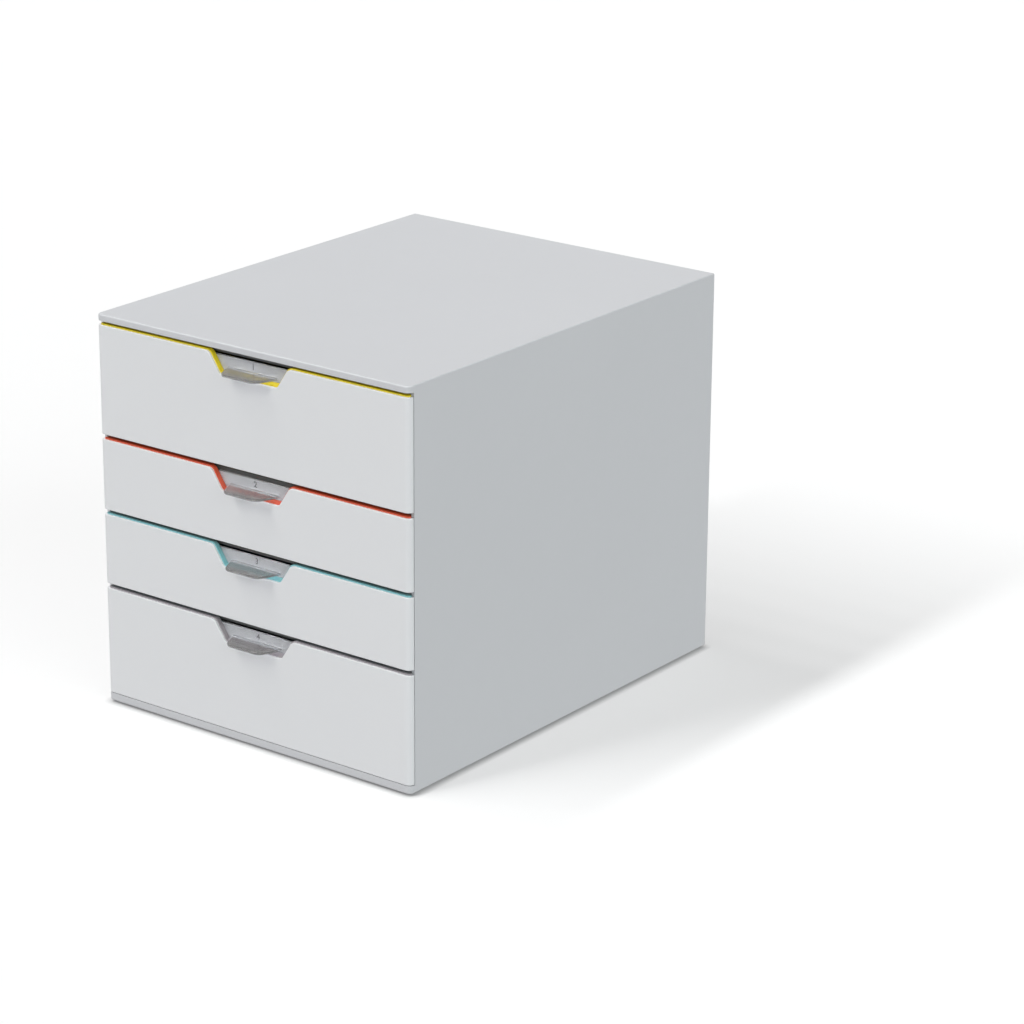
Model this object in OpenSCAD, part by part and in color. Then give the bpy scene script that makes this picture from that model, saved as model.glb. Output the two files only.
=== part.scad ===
// Drawer tower: a moulded housing in which four drawers run on side rails.
// It stands on z = 0 and faces -Y. The origin is the bottom centre of its whole outline,
// finger lips included. Inside the modules y is the depth behind the front plane.

/* [Housing] */
// Width of the housing
body_w = 280; // [276:1:300]
// Depth of the housing, without the finger lips
body_d = 356; // [340:1:380]
// Thickness of the side walls
wall_t = 2.6; // [2.4:0.1:2.8]
// Thickness of the top behind its front lip
top_t = 3; // [2.6:0.1:3.4]
// Height of the front lip of the top
lip_t = 4.8; // [4.4:0.1:6]
// Radius of the vertical front corners
corner_r = 4.3; // [3.8:0.1:4.6]
// Radius along the top and bottom edges
edge_r = 1.2; // [0.8:0.1:1.4]
// Height of the feet below the housing
foot_h = 1.6; // [1.4:0.1:3]
// Height of the top of the bottom front strip
strip_top = 7.5; // [7.2:0.1:7.6]

/* [Drawers] */
// Height of one unit of the drawer grid
unit_h = 28; // [26:0.5:32]
// Units that each drawer takes, from the top drawer down
drawer_units = [3, 2, 2, 3]; // [2:1:4]
// Gap between one drawer's frame and the front above it
front_gap = 3; // [2.8:0.1:3.4]
// Gap between the top drawer's frame and the lip of the top
top_gap = 2.3; // [2:0.1:3]
// Length that a drawer pulls out
travel = 250; // [200:5:260]

/* [Drawer fronts] */
// Thickness of the white panel
panel_t = 1.75; // [1.6:0.05:1.9]
// Depth to which the panel wraps round the corners
wrap_d = 4.8; // [4.6:0.1:4.9]
// Thickness of the coloured frame behind the panel
frame_t = 3.4; // [3.2:0.05:3.45]
// Height and width by which the coloured frame shows past the edges of the white panel
frame_rise = 0.8; // [0.4:0.1:1]
// Half width of the handle notch at the height of the coloured frame's top edge
notch_top = 36.2; // [35:0.1:38]
// Half width of the handle notch at its bottom
notch_low = 25.7; // [25.5:0.1:27]
// Depth of the handle notch below the coloured frame's top edge
notch_h = 15.8; // [15:0.1:16.5]
// Radius of the upper corners of the notch
notch_top_r = 5; // [3:0.5:6]
// Radius of the lower corners of the notch
notch_low_r = 3; // [2:0.5:4]

/* [Label windows] */
// Reach of the finger lip in front of the panel
lip_reach = 11.8; // [10:0.1:14]
// Thickness of the finger lip
lip_plate_t = 1.6; // [1.4:0.1:2]
// Drop of the finger lip's upper face below the top edge of the frame
lip_drop = 10.7; // [10:0.1:11]
// Half the width of the finger lip's front edge, its round corners included
lip_half = 14.8; // [13:0.1:18]
// Radius of the finger lip's front corners
lip_r = 4; // [2:0.5:8]
// Thickness of the window plate
window_t = 1.2; // [1:0.1:1.3]
// Thickness of the label card
card_t = 0.3; // [0.2:0.05:0.4]
// Drop of the top edges of the window and the card below the top edge of the frame
card_drop = 3.4; // [3:0.1:4]

/* [Trays] */
// Thickness of the tray walls and floor
tray_t = 2.2; // [1.8:0.1:2.6]
// Thickness of the tray's front wall
tray_front_t = 2.7; // [2.4:0.1:3]
// Drop of the tray rim below the top edge of the frame
rim_drop = 2.6; // [2.4:0.1:3]
// Drop of the raised middle of the tray's front wall below the top edge of the frame
crest_drop = 0.7; // [0.5:0.1:1.5]
// Gap between the tray and the ledges and webs beside it
run_gap = 0.4; // [0.3:0.05:0.5]
// Radius of the tray's rear corners
tray_r = 8; // [5:0.5:12]

/* [Runners] */
// Thickness of the runner webs
web_t = 3.6; // [3.4:0.1:4]
// Width of the rails
rail_w = 7.3; // [6:0.1:9]
// Height of a ledge above the bottom edge of its drawer front
ledge_lift = 1.9; // [1.6:0.1:2.2]

/* [Hidden] */
KINDS = ["tray", "frame", "panel", "window", "label"];

housing_grey = [0.80, 0.81, 0.82];
inner_grey = [0.70, 0.71, 0.72];
front_white = [0.93, 0.93, 0.94];
tray_grey = [0.24, 0.25, 0.26];
clear_grey = [0.75, 0.77, 0.78, 0.45];
paper_white = [0.90, 0.90, 0.88];
rubber_black = [0.12, 0.12, 0.12];
frame_colours = [[0.87, 0.80, 0.16], [0.83, 0.33, 0.22], [0.45, 0.73, 0.75], [0.59, 0.56, 0.58]];

// The front plane lies behind the finger lips, so that they and the back share the outline
front_y = (lip_reach - body_d) / 2;
half_w = body_w / 2;
inner_half = half_w - wall_t;
// Depth of the lip and the bottom strip, and of the side walls' front edges
rail_front_d = 9;
side_front_d = wrap_d + run_gap;
// Steps in each rounded corner, sides of round pieces, and reach of cuts and joins
corner_steps = 6;
round_sides = 64;
cut = 1;
weld = 0.5;

// Heights: the drawer fronts stack up from just above the bottom strip
front_base = strip_top + run_gap;
function units_from(i) = i >= len(drawer_units) ? 0 : drawer_units[i] + units_from(i + 1);
function bottom_of(k) = front_base + unit_h * units_from(k);
function top_of(k) = bottom_of(k) + unit_h * drawer_units[k - 1] - front_gap;
lip_low = top_of(1) + top_gap;
body_h = lip_low + lip_t;
roof_low = body_h - top_t;
base_t = 2.4;
base_top = 6.4;
base_gap = 0.4;
base_skirt = foot_h + base_gap;
back_t = 2.4;
back_recess = 1.2;
back_d = body_d - back_recess - back_t;

// Feet: their radius, the depth of their seats in the base plate, and their places
foot_r = 8;
foot_seat = 1;
foot_inset = 24;
foot_x = half_w - foot_inset;
foot_front_d = 30;
foot_rear_d = body_d - 26;

// Runners and trays
web_in = inner_half - web_t;
rail_in = web_in - rail_w;
runner_front_d = rail_front_d;
rim_out = 1;
rim_h = 2.4;
tray_half = web_in - run_gap - rim_out;
frame_back_d = panel_t + frame_t;
tray_front_d = 7.2;
tray_back_gap = 6.4;
tray_back_d = back_d - tray_back_gap;
slide_gap = 0.3;
tray_lift = ledge_lift + slide_gap;
tray_edge_r = 2.5;
lug_h = 8;
lug_l = 10;
lug_lift = 12;
lug_out = 2.9;
lug_inset = 12;
lug_d = tray_back_d - lug_inset - lug_l;
groove_deep = 2;

// Coloured frame: its gap inside the panel's returns, the bevel of its back edges and the ramp
frame_gap = 0.1;
frame_bead_r = 0.4;
frame_bevel = 1.3;
frame_lift = 0.6;
ramp_h = 1.2;

// Notch: run of its sides for each mm of height, and how far the frame's sides stand inside it
side_run = (notch_top - notch_low) / notch_h;
side_inset = frame_rise * norm([1, side_run]);

// Window pocket behind the notch, and the raised middle of the tray's front wall behind it
pocket_half = notch_top + 2.3;
pocket_h = notch_h + 1.7;
pocket_wall = 2;
crest_half = pocket_half + pocket_wall;
card_gap = 1;
fit_gap = 0.2;

// --- Outlines ---------------------------------------------------------------

function unit(v) = v / norm(v);
function short_turn(a) = a > 180 ? a - 360 : a < -180 ? a + 360 : a;

// Corner b between a and c, rounded to radius r
function corner(a, b, c, r) =
    let (u = unit(a - b), v = unit(c - b), half = acos(u * v) / 2)
    let (o = b + unit(u + v) * r / sin(half))
    let (p = b + u * r / tan(half), q = b + v * r / tan(half))
    let (start = atan2(p.y - o.y, p.x - o.x))
    let (turn = short_turn(atan2(q.y - o.y, q.x - o.x) - start))
    r == 0 ? [b] :
    [for (i = [0 : corner_steps]) let (t = start + turn * i / corner_steps) o + r * [cos(t), sin(t)]];

// Closed outline with a radius at each of its points
function rounded(points, radii) =
    let (n = len(points))
    [for (i = [0 : n - 1]) each corner(points[(i + n - 1) % n], points[i], points[(i + 1) % n], radii[i])];

// Rectangle between two corners, with the radii of its low and its high corners
function rounded_box(x0, y0, x1, y1, r_low, r_high) =
    rounded([[x0, y0], [x1, y0], [x1, y1], [x0, y1]], [r_low, r_low, r_high, r_high]);

// --- Placing ----------------------------------------------------------------

module at_front() {
    translate([0, front_y, 0]) children();
}

// Outline in X and Z, extruded from depth d0 to depth d1
module through(d0, d1) {
    translate([0, d1, 0]) rotate([90, 0, 0]) linear_extrude(d1 - d0) children();
}

// Outline in depth and Z, extruded from x0 to x1
module across(x0, x1) {
    translate([x0, 0, 0]) rotate([90, 0, 90]) linear_extrude(x1 - x0) children();
}

// Outline in X and depth, extruded from z0 to z1
module upward(z0, z1) {
    translate([0, 0, z0]) linear_extrude(z1 - z0) children();
}

module block(low, high) {
    translate(low) cube(high - low);
}

module both_sides() {
    children();
    mirror([1, 0, 0]) children();
}

// --- Housing ----------------------------------------------------------------

// Solid of the whole housing, with its corners and edges rounded
module housing_solid() {
    intersection() {
        upward(foot_h, body_h) polygon(rounded_box(-half_w, 0, half_w, body_d, corner_r, edge_r));
        through(0, body_d) polygon(rounded_box(-half_w, foot_h, half_w, body_h, edge_r, edge_r));
        across(-half_w, half_w) polygon(rounded_box(0, foot_h, body_d, body_h, edge_r, edge_r));
    }
}

// Top, both sides, the lip above the drawers and the strip below them, in one moulding
module housing_cover() {
    rib_count = 5;
    rib_w = 2;
    rib_pitch = 2 * rail_in / (rib_count + 1);
    color(housing_grey) at_front() {
        difference() {
            housing_solid();
            block([-inner_half, rail_front_d, -cut], [inner_half, body_d + cut, roof_low]);
            block([-half_w - cut, -cut, strip_top], [half_w + cut, side_front_d, lip_low]);
            block([-inner_half, -cut, strip_top], [inner_half, rail_front_d + cut, lip_low]);
        }
        for (i = [1 : rib_count])
            translate([i * rib_pitch - rail_in - rib_w / 2, rail_front_d - cut, lip_low])
                cube([rib_w, back_d - rail_front_d, roof_low - lip_low + cut]);
    }
}

// Floor of the housing, stiffened by ribs on its underside, with a seat for each foot
module base_plate() {
    rib_w = 1.6;
    ribs = 3;
    seat_wall = 2;
    front_d = rail_front_d;
    back = back_d;
    half = inner_half;
    pitch = 2 * half / (ribs + 1);
    rib_h = base_top - cut - base_skirt;
    color(inner_grey) at_front() difference() {
        union() {
            block([-half, front_d, base_top - base_t], [half, back, base_top]);
            difference() {
                block([-half, front_d, base_skirt], [half, back, base_top - cut]);
                block([-half + rib_w, front_d + rib_w, base_skirt - cut],
                      [half - rib_w, back - rib_w, base_top]);
            }
            for (i = [1 : ribs])
                translate([i * pitch - half - rib_w / 2, front_d, base_skirt])
                    cube([rib_w, back - front_d, rib_h]);
            for (x = [-foot_x, foot_x], d = [foot_front_d, foot_rear_d])
                translate([x, d, base_skirt])
                    cylinder(r = foot_r + seat_wall, h = rib_h, $fn = round_sides);
        }
        for (x = [-foot_x, foot_x], d = [foot_front_d, foot_rear_d])
            translate([x, d, base_skirt - cut])
                cylinder(r = foot_r + fit_gap / 2, h = foot_seat + cut, $fn = round_sides);
    }
}

// One soft foot: a disc with a rounded lower edge, pressed into its seat
module foot(x, d) {
    height = base_skirt + foot_seat;
    round_r = 0.8;
    color(rubber_black) at_front() translate([x, d, 0])
        rotate_extrude($fn = round_sides)
            polygon([[0, 0], [foot_r - round_r, 0], [foot_r, round_r], [foot_r, height], [0, height]]);
}

// Rear wall: a plate with a raised field, standing between the sides
module back_panel() {
    border = 18;
    field_t = 0.8;
    low = base_skirt;
    color(inner_grey) at_front() {
        block([-inner_half, back_d, low], [inner_half, back_d + back_t, roof_low]);
        block([border - inner_half, back_d + back_t - cut, low + border],
              [inner_half - border, back_d + back_t + field_t, roof_low - border]);
    }
}

// --- Runners ----------------------------------------------------------------

// One rail between two heights: a bar with a groove along its inner face and a lead-in at the front
module rail(z0, z1) {
    flange = 2;
    lead = 3;
    grooved_h = 5;
    end_gap = 4;
    back = back_d - end_gap;
    difference() {
        upward(z0, z1) polygon([[rail_in, runner_front_d + 2 * lead], [rail_in + lead, runner_front_d],
                                [web_in + cut, runner_front_d], [web_in + cut, back], [rail_in, back]]);
        if (z1 - z0 > grooved_h)
            block([rail_in - cut, runner_front_d - cut, z0 + flange],
                  [web_in - flange, back - flange, z1 - flange]);
    }
}

// Inner side wall of the housing: a web with a ledge under every tray and a groove for its stop lug
module runner() {
    groove_h = lug_h + 2 * run_gap;
    groove_front = lug_d - travel - run_gap;
    difference() {
        block([web_in, runner_front_d, base_top], [inner_half, back_d, roof_low]);
        for (k = [1 : 4])
            translate([web_in - cut, groove_front, bottom_of(k) + lug_lift - run_gap])
                cube([groove_deep + cut, body_d, groove_h]);
    }
    rail(top_of(1) - rim_drop + run_gap, roof_low);
    for (k = [1 : 3])
        rail(top_of(k + 1) - rim_drop + run_gap, bottom_of(k) + ledge_lift);
    rail(base_top, bottom_of(4) + ledge_lift);
}

module right_runner() {
    color(inner_grey) at_front() runner();
}

module left_runner() {
    color(inner_grey) at_front() mirror([1, 0, 0]) runner();
}

// --- Drawers ----------------------------------------------------------------

// Open tray with a rolled rim, a front wall raised behind the notch, rounded edges and a stop
// lug near the back of each side
module tray(k) {
    low = bottom_of(k) + tray_lift;
    rim = top_of(k) - rim_drop;
    wall_half = tray_half;
    inner = wall_half - tray_t;
    front_r = 2;
    crest_r = 1;
    color(tray_grey) at_front() {
        difference() {
            union() {
                intersection() {
                    upward(low, rim)
                        polygon(rounded_box(-wall_half, tray_front_d, wall_half, tray_back_d,
                                            front_r, tray_r));
                    through(tray_front_d, tray_back_d)
                        polygon(rounded_box(-wall_half, low, wall_half, rim, tray_edge_r, 0));
                }
                upward(rim - rim_h, rim)
                    polygon(rounded_box(-wall_half - rim_out, tray_front_d, wall_half + rim_out,
                                        tray_back_d + rim_out, front_r, tray_r + rim_out));
            }
            intersection() {
                upward(low + tray_t, rim + cut)
                    polygon(rounded_box(-inner, tray_front_d + tray_front_t, inner, tray_back_d - tray_t,
                                        front_r, tray_r - tray_t));
                through(0, body_d)
                    polygon(rounded_box(-inner, low + tray_t, inner, rim + cut, tray_edge_r, 0));
            }
        }
        through(tray_front_d, tray_front_d + tray_front_t)
            polygon(rounded_box(-crest_half, rim - rim_h, crest_half, top_of(k) - crest_drop, 0, crest_r));
        both_sides() upward(bottom_of(k) + lug_lift, bottom_of(k) + lug_lift + lug_h)
            polygon([[wall_half - cut, lug_d], [wall_half + lug_out, lug_d],
                     [wall_half + lug_out, lug_d + lug_l / 2], [wall_half, lug_d + lug_l],
                     [wall_half - cut, lug_d + lug_l]]);
    }
}

// Half width of the notch at a drop below the frame's top edge, between the white edges
function notch_half(drop) = notch_top - drop * side_run;

// Outline of a drawer front in X and Z, with the handle notch in its top edge. The edges of
// the outline stand back by rise from the frame's top edge and from the notch in the frame.
function front_outline(half, low, high, rise, r) =
    let (shift = side_inset * (1 - rise / frame_rise), floor_drop = notch_h - frame_rise + rise)
    let (top_half = notch_half(rise) - shift, low_half = notch_half(floor_drop) - shift)
    let (top_z = high - rise, low_z = high - floor_drop)
    rounded([[-half, low], [half, low], [half, top_z], [top_half, top_z], [low_half, low_z],
             [-low_half, low_z], [-top_half, top_z], [-half, top_z]],
            [r, r, r, notch_top_r, notch_low_r, notch_low_r, notch_top_r, r]);

// White front panel, a skin that wraps round the front corners
module panel(k) {
    low = bottom_of(k);
    high = top_of(k);
    top = high - frame_rise;
    bead_r = 0.6;
    top_bead_r = 0.85;
    inner = half_w - panel_t;
    color(front_white) at_front() intersection() {
        through(-cut, wrap_d + cut) polygon(front_outline(half_w, low, high, frame_rise, bead_r));
        across(-half_w - cut, half_w + cut)
            polygon(rounded([[0, low], [wrap_d, low], [wrap_d, top], [0, top]], [bead_r, 0, 0, top_bead_r]));
        upward(low - cut, high + cut)
            polygon(rounded([[-half_w, wrap_d], [-half_w, 0], [half_w, 0], [half_w, wrap_d],
                             [inner, wrap_d], [inner, panel_t], [-inner, panel_t], [-inner, wrap_d]],
                            [0, corner_r, corner_r, 0, 0, corner_r - panel_t, corner_r - panel_t, 0]));
    }
}

// Coloured plate behind the panel, with a slightly smaller notch and a ramp up to the window
module frame_plate(low, high, half) {
    plate_r = corner_r - panel_t - frame_gap;
    side_d = wrap_d - run_gap;
    intersection() {
        through(panel_t, frame_back_d) polygon(front_outline(half, low, high, 0, frame_bead_r));
        upward(low - cut, high + cut)
            polygon(rounded([[-half, side_d], [-half, panel_t], [half, panel_t], [half, side_d],
                             [half - frame_bevel, frame_back_d], [frame_bevel - half, frame_back_d]],
                            [0, plate_r, plate_r, 0, 0, 0]));
    }
    foot_z = high - notch_h + frame_rise;
    foot_half = notch_half(notch_h - frame_rise) - side_inset;
    ramp_half = foot_half + ramp_h * side_run;
    intersection() {
        through(panel_t, frame_back_d)
            polygon([[-foot_half, foot_z - cut], [foot_half, foot_z - cut],
                     [ramp_half, foot_z + ramp_h], [-ramp_half, foot_z + ramp_h]]);
        across(-half, half)
            polygon([[0, foot_z - cut], [panel_t, foot_z], [frame_back_d, foot_z + ramp_h],
                     [frame_back_d, foot_z - cut]]);
    }
}

// Coloured frame between panel and tray: the plate, a rim and ribs behind it, and a window pocket
module frame(k) {
    low = bottom_of(k) + frame_lift;
    high = top_of(k);
    half = half_w - panel_t - frame_gap;
    flange_half = half - frame_bevel;
    rim_low = bottom_of(k) + tray_lift;
    rim_t = 2.2;
    rib_t = 1.5;
    rib_xs = [48, 76, 104];
    root_d = frame_back_d - weld;
    color(frame_colours[k - 1]) at_front() {
        frame_plate(low, high, half);
        difference() {
            union() {
                block([-flange_half, root_d, high - rim_t], [flange_half, tray_front_d, high]);
                difference() {
                    block([-tray_half, root_d, rim_low], [tray_half, tray_front_d, high]);
                    block([rim_t - tray_half, 0, rim_low + rim_t],
                          [tray_half - rim_t, body_d, high - rim_t]);
                }
                block([-pocket_half - pocket_wall, root_d, high - pocket_h - pocket_wall],
                      [pocket_half + pocket_wall, tray_front_d, high]);
                both_sides() for (x = rib_xs)
                    block([x, root_d, rim_low], [x + rib_t, tray_front_d, high]);
            }
            block([-pocket_half, 0, high - pocket_h], [pocket_half, body_d, high + cut]);
        }
    }
}

// Clear window over the label, moulded with the finger lip that the drawer is pulled by
module window(k) {
    high = top_of(k);
    top = high - card_drop;
    lip_top = high - lip_drop;
    lip_base = lip_top - lip_plate_t;
    plate_half = pocket_half - fit_gap;
    plate_back_d = frame_back_d + window_t;
    root_half = 22.3;
    root_back_d = frame_back_d + weld;
    inset = 0.1;
    upper_run = 2;
    lower_run = 1.2;
    upper_fillet = 1.4;
    lower_fillet = 0.7;
    fillet_d = frame_back_d - upper_fillet - inset;
    fillet_back_d = plate_back_d - inset;
    taper = (root_half - lip_half) / (root_back_d + lip_reach);
    fillet_half = lip_half + taper * (fillet_d + lip_reach) - inset;
    color(clear_grey) at_front() {
        block([-plate_half, frame_back_d, high - pocket_h + fit_gap], [plate_half, plate_back_d, top]);
        upward(lip_base, lip_top)
            polygon(rounded([[-lip_half, -lip_reach], [lip_half, -lip_reach],
                             [root_half, root_back_d], [-root_half, root_back_d]],
                            [lip_r, lip_r, 0, 0]));
        across(-fillet_half, fillet_half)
            polygon(rounded([[fillet_back_d, lip_top + upper_run], [frame_back_d, lip_top + upper_run],
                             [frame_back_d, lip_top], [fillet_d, lip_top], [fillet_d, lip_base],
                             [frame_back_d, lip_base], [frame_back_d, lip_base - lower_run],
                             [fillet_back_d, lip_base - lower_run]],
                            [0, 0, upper_fillet, 0, 0, lower_fillet, 0, 0]));
    }
}

// Card that carries the drawer's number, held behind the window
module label(k) {
    high = top_of(k);
    half = pocket_half - card_gap;
    d = frame_back_d + window_t;
    color(paper_white) at_front()
        block([-half, d, high - pocket_h + card_gap], [half, d + card_t, high - card_drop]);
}

// --- Nodes ------------------------------------------------------------------

housing_cover();
base_plate();
back_panel();
left_runner();
right_runner();
foot(-foot_x, foot_front_d);  // front_left_foot
foot(foot_x, foot_front_d);  // front_right_foot
foot(-foot_x, foot_rear_d);  // rear_left_foot
foot(foot_x, foot_rear_d);  // rear_right_foot
for (k = [1 : 4]) {
    tray(k);
    frame(k);
    panel(k);
    window(k);
    label(k);
}
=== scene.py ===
"""Desktop drawer tower: a closed plastic housing with four pull-out trays.

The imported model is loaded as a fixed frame. The pieces that show most (cover, fronts, clear
windows, label cards, feet) are modelled here by hand at the places that the frame gives them,
coloured frames and trays are softened copies of their nodes, and the rest of the nodes are
dressed as they are. Lengths are metres; sizes named in the classes are written in millimetres.
"""

from __future__ import annotations

import logging
import math
from contextlib import contextmanager
from dataclasses import dataclass
from enum import Enum
from typing import Any, Callable, Iterator, Sequence

import bmesh
import bpy
from mathutils import Matrix, Vector


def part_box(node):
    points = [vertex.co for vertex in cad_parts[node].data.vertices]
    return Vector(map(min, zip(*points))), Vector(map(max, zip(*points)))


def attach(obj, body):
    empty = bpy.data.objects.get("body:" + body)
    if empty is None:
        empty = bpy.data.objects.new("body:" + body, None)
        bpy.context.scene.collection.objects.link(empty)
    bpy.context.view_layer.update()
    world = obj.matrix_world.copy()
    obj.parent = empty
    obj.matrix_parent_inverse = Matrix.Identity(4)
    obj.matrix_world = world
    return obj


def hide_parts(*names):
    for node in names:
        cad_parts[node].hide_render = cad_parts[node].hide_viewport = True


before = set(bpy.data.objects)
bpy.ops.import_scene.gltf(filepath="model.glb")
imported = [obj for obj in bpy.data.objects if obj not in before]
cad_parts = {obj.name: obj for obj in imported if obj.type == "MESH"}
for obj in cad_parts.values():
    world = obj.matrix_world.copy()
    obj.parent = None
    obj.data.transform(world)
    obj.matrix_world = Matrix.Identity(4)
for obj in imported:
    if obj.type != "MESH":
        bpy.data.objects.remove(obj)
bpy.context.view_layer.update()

log = logging.getLogger("drawer_tower")

MM = 0.001
SNAP = 0.02 * MM  # two lengths nearer than this are the same
SPARE = 5 * MM  # how far a cutting tool reaches past its piece
MERGE = 0.001 * MM  # corners of a CAD node nearer than this are one
INK_MERGE = 0.0005 * MM  # the same for a printed number
TURN_REACH = 0.1 * MM  # how far a face of a rounded corner may lie off its arc
FLAT_ANGLE = math.radians(0.4)  # faces of a CAD node that turn less are one
SEAM_ANGLE = math.radians(1)  # the same for a sheet that was cut
SMOOTH_ANGLE = math.radians(60)  # faces that turn more are shaded apart
NORMAL_WEIGHT = 60  # how much a large face pulls the shading of its edges
FACING = 0.9  # part of a normal along an axis from which on a face looks that way
TILTED = 0.3  # part of a normal along Z from which on a face is no upright one
WIDE_STEPS, NOTCH_STEPS, BEAD_STEPS, EDGE_STEPS = 10, 8, 5, 4  # steps in a rounding
MIX_A, MIX_B, MIX_RESULT = 6, 7, 2  # colour sockets of a Mix node
WHITE = (1, 1, 1, 1)
IMAGE_SIDE = 1024

Levels = tuple[float, float, float]
Piece = bpy.types.Object
Material = bpy.types.Material
Node = bpy.types.Node
Socket = bpy.types.NodeSocket
Tree = bpy.types.NodeTree
CornerTest = Callable[[Vector], bool]
EdgeTest = Callable[[Vector, Vector], bool]
FaceTest = Callable[[Vector, Vector], bool]


# --- Named choices ---


class Cut(Enum):
    """What a boolean modifier does with its tool."""

    AWAY = "DIFFERENCE"
    JOINED = "UNION"


class FrameColour(Enum):
    """Colours of the frames behind the white fronts, from the top drawer down, in screen values."""

    YELLOW = (232, 210, 38)
    RED_ORANGE = (218, 92, 64)
    TURQUOISE = (132, 194, 199)
    MAUVE = (162, 155, 159)


class Corner(Enum):
    """The four feet, by the first part of their nodes' names."""

    FRONT_LEFT = "front_left"
    FRONT_RIGHT = "front_right"
    REAR_LEFT = "rear_left"
    REAR_RIGHT = "rear_right"


# --- Small sums ---


def mm(*lengths: float) -> Vector:
    """Return three lengths in millimetres as a vector in metres."""
    return Vector(lengths) * MM


def from_screen(levels: Levels) -> tuple[float, float, float, float]:
    """Turn a colour in screen values into the linear values that shaders take.

    Args:
        levels: Red, green and blue, from 0 to 255.

    Returns:
        Red, green and blue, linear, from 0 to 1, and an alpha of 1.
    """
    parts = [level / 255 for level in levels]
    return (*(p / 12.92 if p <= 0.04045 else ((p + 0.055) / 1.055) ** 2.4 for p in parts), 1)


def near(a: float, b: float, reach: float = SNAP) -> bool:
    """Say whether two lengths are the same within reach."""
    return abs(a - b) < reach


# --- The workbench: modelling steps ---


def clear_selection() -> None:
    """Deselect every object, CAD nodes included."""
    bpy.ops.object.select_all(action="DESELECT")


def pick_up(piece: Piece) -> None:
    """Make one piece the only selected and the active object."""
    clear_selection()
    piece.select_set(True)
    bpy.context.view_layer.objects.active = piece


def name_piece(piece: Piece, name: str) -> Piece:
    """Give an object and its mesh one name, and return the object."""
    piece.name = name
    piece.data.name = name
    return piece


def settle(piece: Piece) -> Piece:
    """Move a piece's place, turn and scale into its mesh, so that its object sits at the origin."""
    pick_up(piece)
    bpy.ops.object.transform_apply(location=True, rotation=True, scale=True)
    return piece


def start_box(name: str, low: Vector, high: Vector) -> Piece:
    """Add a cube between two corners.

    Args:
        name: Name of the new piece.
        low: Lowest corner.
        high: Highest corner.

    Returns:
        The cube, with its place in its mesh.
    """
    clear_selection()
    bpy.ops.mesh.primitive_cube_add(size=1, location=(low + high) / 2)
    piece = bpy.context.active_object
    piece.scale = high - low
    return settle(name_piece(piece, name))


@contextmanager
def editing(piece: Piece, kind: str = "EDGE") -> Iterator[None]:
    """Open a piece in edit mode with nothing selected, and close it again.

    Args:
        piece: The piece to edit.
        kind: VERT, EDGE or FACE, the kind of element that is picked.
    """
    pick_up(piece)
    bpy.ops.object.mode_set(mode="EDIT")
    bpy.ops.mesh.select_mode(type=kind)
    bpy.ops.mesh.select_all(action="DESELECT")
    yield
    bpy.ops.object.mode_set(mode="OBJECT")


def pick(piece: Piece, kind: str, test: Callable[[Any], bool]) -> None:
    """Select only those elements of one kind that pass a test, in edit mode."""
    bpy.ops.mesh.select_mode(type=kind)
    bpy.ops.mesh.select_all(action="DESELECT")
    mesh = bmesh.from_edit_mesh(piece.data)
    mesh.normal_update()
    for element in {"VERT": mesh.verts, "EDGE": mesh.edges, "FACE": mesh.faces}[kind]:
        element.select = test(element)
    mesh.select_flush_mode()
    bmesh.update_edit_mesh(piece.data)


def pick_corners(piece: Piece, test: CornerTest) -> None:
    """Select only the vertices whose place passes a test, in edit mode."""
    pick(piece, "VERT", lambda corner: test(corner.co))


def pick_edges(piece: Piece, test: EdgeTest) -> None:
    """Select only the edges whose two ends pass a test, in edit mode."""
    pick(piece, "EDGE", lambda edge: test(*(corner.co for corner in edge.verts)))


def pick_faces(piece: Piece, test: FaceTest) -> None:
    """Select only the faces whose centre and normal pass a test, in edit mode."""
    pick(piece, "FACE", lambda face: test(face.calc_center_median(), face.normal))


def round_edges(radius: float, segments: int) -> None:
    """Round the selected edges."""
    bpy.ops.mesh.bevel(offset=radius, segments=segments, affect="EDGES", clamp_overlap=True)


def round_corners(radius: float, half_angle: float, segments: int) -> None:
    """Round the selected corners of a flat outline.

    Args:
        radius: Radius of the rounding.
        half_angle: Half the angle between the two edges at each corner, in radians.
        segments: Number of steps in the rounding.
    """
    bpy.ops.mesh.bevel(offset=radius / math.tan(half_angle), segments=segments, affect="VERTICES")


def pull(offset: Vector) -> None:
    """Extrude what is selected by an offset."""
    bpy.ops.mesh.extrude_region_move(TRANSFORM_OT_translate={"value": tuple(offset)})


def finish_modifier(piece: Piece, kind: str, **settings: Any) -> None:
    """Add a modifier with its settings and apply it.

    Args:
        piece: The piece that gets it.
        kind: Blender's name for the modifier's type.
        **settings: Its settings by name.
    """
    pick_up(piece)
    modifier = piece.modifiers.new(kind.lower(), kind)
    for name, value in settings.items():
        setattr(modifier, name, value)
    bpy.ops.object.modifier_apply(modifier=modifier.name)


def combine(piece: Piece, tool: Piece, cut: Cut) -> None:
    """Cut a tool away from a piece or join it on, and throw the tool away."""
    finish_modifier(piece, "BOOLEAN", operation=cut.value, solver="EXACT", object=tool)
    bpy.data.objects.remove(tool)


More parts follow.
